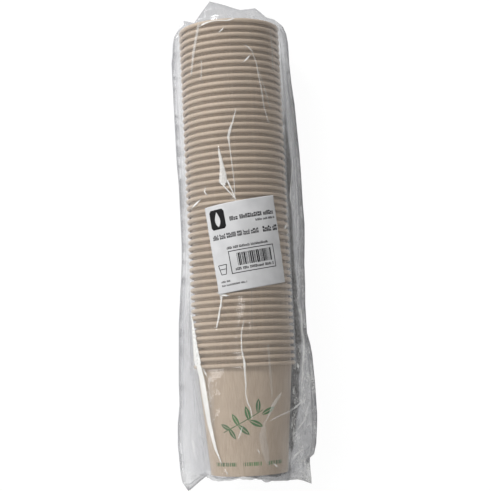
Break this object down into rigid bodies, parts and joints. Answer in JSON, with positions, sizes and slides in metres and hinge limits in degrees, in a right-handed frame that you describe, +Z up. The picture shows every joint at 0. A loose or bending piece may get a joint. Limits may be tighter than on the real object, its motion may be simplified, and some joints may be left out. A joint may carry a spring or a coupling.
{
  "type": "sleeve of nested cups",
  "caption": "Clear film sleeve of nested single-wall bamboo-board cups with rolled rims and recessed bottoms, lying on its side, with a plain paper label.",
  "frame": {"origin": "middle of the sleeve's underside, on the surface that it lies on", "axes": "+Y along the cups' common axis, from the printed first cup's foot towards the mouths; +Z up; +X to the right as seen from above with the mouths away from the viewer"},
  "size_m": [0.102, 0.3636, 0.073],
  "materials": {
    "bamboo_board": "unbleached greige bamboo board, matt, with fine darker fibres and green print",
    "clear_film": "thin clear polypropylene film, glossy, creased",
    "label_paper": "white coated paper label, satin, with plain grey and black print"
  },
  "bodies": {
    "sleeve": {"film_sleeve": "clear_film", "label": "label_paper"},
    "cup_01": {"cup_01_wall": "bamboo_board", "cup_01_bottom": "bamboo_board"},
    "cup_02": {"cup_02": "bamboo_board"},
    "cup_03": {"cup_03": "bamboo_board"},
    "cup_04": {"cup_04": "bamboo_board"},
    "cup_05": {"cup_05": "bamboo_board"},
    "cup_06": {"cup_06": "bamboo_board"},
    "cup_07": {"cup_07": "bamboo_board"},
    "cup_08": {"cup_08": "bamboo_board"},
    "cup_09": {"cup_09": "bamboo_board"},
    "cup_10": {"cup_10": "bamboo_board"},
    "cup_11": {"cup_11": "bamboo_board"},
    "cup_12": {"cup_12": "bamboo_board"},
    "cup_13": {"cup_13": "bamboo_board"},
    "cup_14": {"cup_14": "bamboo_board"},
    "cup_15": {"cup_15": "bamboo_board"},
    "cup_16": {"cup_16": "bamboo_board"},
    "cup_17": {"cup_17": "bamboo_board"},
    "cup_18": {"cup_18": "bamboo_board"},
    "cup_19": {"cup_19": "bamboo_board"},
    "cup_20": {"cup_20": "bamboo_board"},
    "cup_21": {"cup_21": "bamboo_board"},
    "cup_22": {"cup_22": "bamboo_board"},
    "cup_23": {"cup_23": "bamboo_board"},
    "cup_24": {"cup_24": "bamboo_board"},
    "cup_25": {"cup_25": "bamboo_board"},
    "cup_26": {"cup_26": "bamboo_board"},
    "cup_27": {"cup_27": "bamboo_board"},
    "cup_28": {"cup_28": "bamboo_board"},
    "cup_29": {"cup_29": "bamboo_board"},
    "cup_30": {"cup_30": "bamboo_board"},
    "cup_31": {"cup_31": "bamboo_board"},
    "cup_32": {"cup_32": "bamboo_board"},
    "cup_33": {"cup_33": "bamboo_board"},
    "cup_34": {"cup_34": "bamboo_board"},
    "cup_35": {"cup_35": "bamboo_board"},
    "cup_36": {"cup_36": "bamboo_board"},
    "cup_37": {"cup_37": "bamboo_board"},
    "cup_38": {"cup_38": "bamboo_board"},
    "cup_39": {"cup_39": "bamboo_board"},
    "cup_40": {"cup_40": "bamboo_board"},
    "cup_41": {"cup_41": "bamboo_board"},
    "cup_42": {"cup_42": "bamboo_board"},
    "cup_43": {"cup_43": "bamboo_board"},
    "cup_44": {"cup_44": "bamboo_board"},
    "cup_45": {"cup_45": "bamboo_board"},
    "cup_46": {"cup_46": "bamboo_board"},
    "cup_47": {"cup_47": "bamboo_board"},
    "cup_48": {"cup_48": "bamboo_board"},
    "cup_49": {"cup_49": "bamboo_board"},
    "cup_50": {"cup_50_wall": "bamboo_board", "cup_50_bottom": "bamboo_board"}
  },
  "joints": [
    {"name": "stack_slide", "type": "slide", "parent": "sleeve", "child": "cup_01", "axis": [0, 1, 0], "range_m": [0, 0.32]},
    {"name": "cup_50_slide", "type": "slide", "parent": "cup_49", "child": "cup_50", "axis": [0, 1, 0], "range_m": [0, 0.08]},
    {"name": "cup_49_slide", "type": "slide", "parent": "cup_48", "child": "cup_49", "axis": [0, 1, 0], "range_m": [0, 0.08]},
    {"name": "cup_48_slide", "type": "slide", "parent": "cup_47", "child": "cup_48", "axis": [0, 1, 0], "range_m": [0, 0.08]},
    {"name": "cup_47_slide", "type": "slide", "parent": "cup_46", "child": "cup_47", "axis": [0, 1, 0], "range_m": [0, 0.08]},
    {"name": "cup_46_slide", "type": "slide", "parent": "cup_45", "child": "cup_46", "axis": [0, 1, 0], "range_m": [0, 0.08]},
    {"name": "cup_45_slide", "type": "slide", "parent": "cup_44", "child": "cup_45", "axis": [0, 1, 0], "range_m": [0, 0.08]},
    {"name": "cup_44_slide", "type": "slide", "parent": "cup_43", "child": "cup_44", "axis": [0, 1, 0], "range_m": [0, 0.08]},
    {"name": "cup_43_slide", "type": "slide", "parent": "cup_42", "child": "cup_43", "axis": [0, 1, 0], "range_m": [0, 0.08]},
    {"name": "cup_42_slide", "type": "slide", "parent": "cup_41", "child": "cup_42", "axis": [0, 1, 0], "range_m": [0, 0.08]},
    {"name": "cup_41_slide", "type": "slide", "parent": "cup_40", "child": "cup_41", "axis": [0, 1, 0], "range_m": [0, 0.08]},
    {"name": "cup_40_slide", "type": "slide", "parent": "cup_39", "child": "cup_40", "axis": [0, 1, 0], "range_m": [0, 0.08]},
    {"name": "cup_39_slide", "type": "slide", "parent": "cup_38", "child": "cup_39", "axis": [0, 1, 0], "range_m": [0, 0.08]},
    {"name": "cup_38_slide", "type": "slide", "parent": "cup_37", "child": "cup_38", "axis": [0, 1, 0], "range_m": [0, 0.08]},
    {"name": "cup_37_slide", "type": "slide", "parent": "cup_36", "child": "cup_37", "axis": [0, 1, 0], "range_m": [0, 0.08]},
    {"name": "cup_36_slide", "type": "slide", "parent": "cup_35", "child": "cup_36", "axis": [0, 1, 0], "range_m": [0, 0.08]},
    {"name": "cup_35_slide", "type": "slide", "parent": "cup_34", "child": "cup_35", "axis": [0, 1, 0], "range_m": [0, 0.08]},
    {"name": "cup_34_slide", "type": "slide", "parent": "cup_33", "child": "cup_34", "axis": [0, 1, 0], "range_m": [0, 0.08]},
    {"name": "cup_33_slide", "type": "slide", "parent": "cup_32", "child": "cup_33", "axis": [0, 1, 0], "range_m": [0, 0.08]},
    {"name": "cup_32_slide", "type": "slide", "parent": "cup_31", "child": "cup_32", "axis": [0, 1, 0], "range_m": [0, 0.08]},
    {"name": "cup_31_slide", "type": "slide", "parent": "cup_30", "child": "cup_31", "axis": [0, 1, 0], "range_m": [0, 0.08]},
    {"name": "cup_30_slide", "type": "slide", "parent": "cup_29", "child": "cup_30", "axis": [0, 1, 0], "range_m": [0, 0.08]},
    {"name": "cup_29_slide", "type": "slide", "parent": "cup_28", "child": "cup_29", "axis": [0, 1, 0], "range_m": [0, 0.08]},
    {"name": "cup_28_slide", "type": "slide", "parent": "cup_27", "child": "cup_28", "axis": [0, 1, 0], "range_m": [0, 0.08]},
    {"name": "cup_27_slide", "type": "slide", "parent": "cup_26", "child": "cup_27", "axis": [0, 1, 0], "range_m": [0, 0.08]},
    {"name": "cup_26_slide", "type": "slide", "parent": "cup_25", "child": "cup_26", "axis": [0, 1, 0], "range_m": [0, 0.08]},
    {"name": "cup_25_slide", "type": "slide", "parent": "cup_24", "child": "cup_25", "axis": [0, 1, 0], "range_m": [0, 0.08]},
    {"name": "cup_24_slide", "type": "slide", "parent": "cup_23", "child": "cup_24", "axis": [0, 1, 0], "range_m": [0, 0.08]},
    {"name": "cup_23_slide", "type": "slide", "parent": "cup_22", "child": "cup_23", "axis": [0, 1, 0], "range_m": [0, 0.08]},
    {"name": "cup_22_slide", "type": "slide", "parent": "cup_21", "child": "cup_22", "axis": [0, 1, 0], "range_m": [0, 0.08]},
    {"name": "cup_21_slide", "type": "slide", "parent": "cup_20", "child": "cup_21", "axis": [0, 1, 0], "range_m": [0, 0.08]},
    {"name": "cup_20_slide", "type": "slide", "parent": "cup_19", "child": "cup_20", "axis": [0, 1, 0], "range_m": [0, 0.08]},
    {"name": "cup_19_slide", "type": "slide", "parent": "cup_18", "child": "cup_19", "axis": [0, 1, 0], "range_m": [0, 0.08]},
    {"name": "cup_18_slide", "type": "slide", "parent": "cup_17", "child": "cup_18", "axis": [0, 1, 0], "range_m": [0, 0.08]},
    {"name": "cup_17_slide", "type": "slide", "parent": "cup_16", "child": "cup_17", "axis": [0, 1, 0], "range_m": [0, 0.08]},
    {"name": "cup_16_slide", "type": "slide", "parent": "cup_15", "child": "cup_16", "axis": [0, 1, 0], "range_m": [0, 0.08]},
    {"name": "cup_15_slide", "type": "slide", "parent": "cup_14", "child": "cup_15", "axis": [0, 1, 0], "range_m": [0, 0.08]},
    {"name": "cup_14_slide", "type": "slide", "parent": "cup_13", "child": "cup_14", "axis": [0, 1, 0], "range_m": [0, 0.08]},
    {"name": "cup_13_slide", "type": "slide", "parent": "cup_12", "child": "cup_13", "axis": [0, 1, 0], "range_m": [0, 0.08]},
    {"name": "cup_12_slide", "type": "slide", "parent": "cup_11", "child": "cup_12", "axis": [0, 1, 0], "range_m": [0, 0.08]},
    {"name": "cup_11_slide", "type": "slide", "parent": "cup_10", "child": "cup_11", "axis": [0, 1, 0], "range_m": [0, 0.08]},
    {"name": "cup_10_slide", "type": "slide", "parent": "cup_09", "child": "cup_10", "axis": [0, 1, 0], "range_m": [0, 0.08]},
    {"name": "cup_09_slide", "type": "slide", "parent": "cup_08", "child": "cup_09", "axis": [0, 1, 0], "range_m": [0, 0.08]},
    {"name": "cup_08_slide", "type": "slide", "parent": "cup_07", "child": "cup_08", "axis": [0, 1, 0], "range_m": [0, 0.08]},
    {"name": "cup_07_slide", "type": "slide", "parent": "cup_06", "child": "cup_07", "axis": [0, 1, 0], "range_m": [0, 0.08]},
    {"name": "cup_06_slide", "type": "slide", "parent": "cup_05", "child": "cup_06", "axis": [0, 1, 0], "range_m": [0, 0.08]},
    {"name": "cup_05_slide", "type": "slide", "parent": "cup_04", "child": "cup_05", "axis": [0, 1, 0], "range_m": [0, 0.08]},
    {"name": "cup_04_slide", "type": "slide", "parent": "cup_03", "child": "cup_04", "axis": [0, 1, 0], "range_m": [0, 0.08]},
    {"name": "cup_03_slide", "type": "slide", "parent": "cup_02", "child": "cup_03", "axis": [0, 1, 0], "range_m": [0, 0.08]},
    {"name": "cup_02_slide", "type": "slide", "parent": "cup_01", "child": "cup_02", "axis": [0, 1, 0], "range_m": [0, 0.08]}
  ]
}
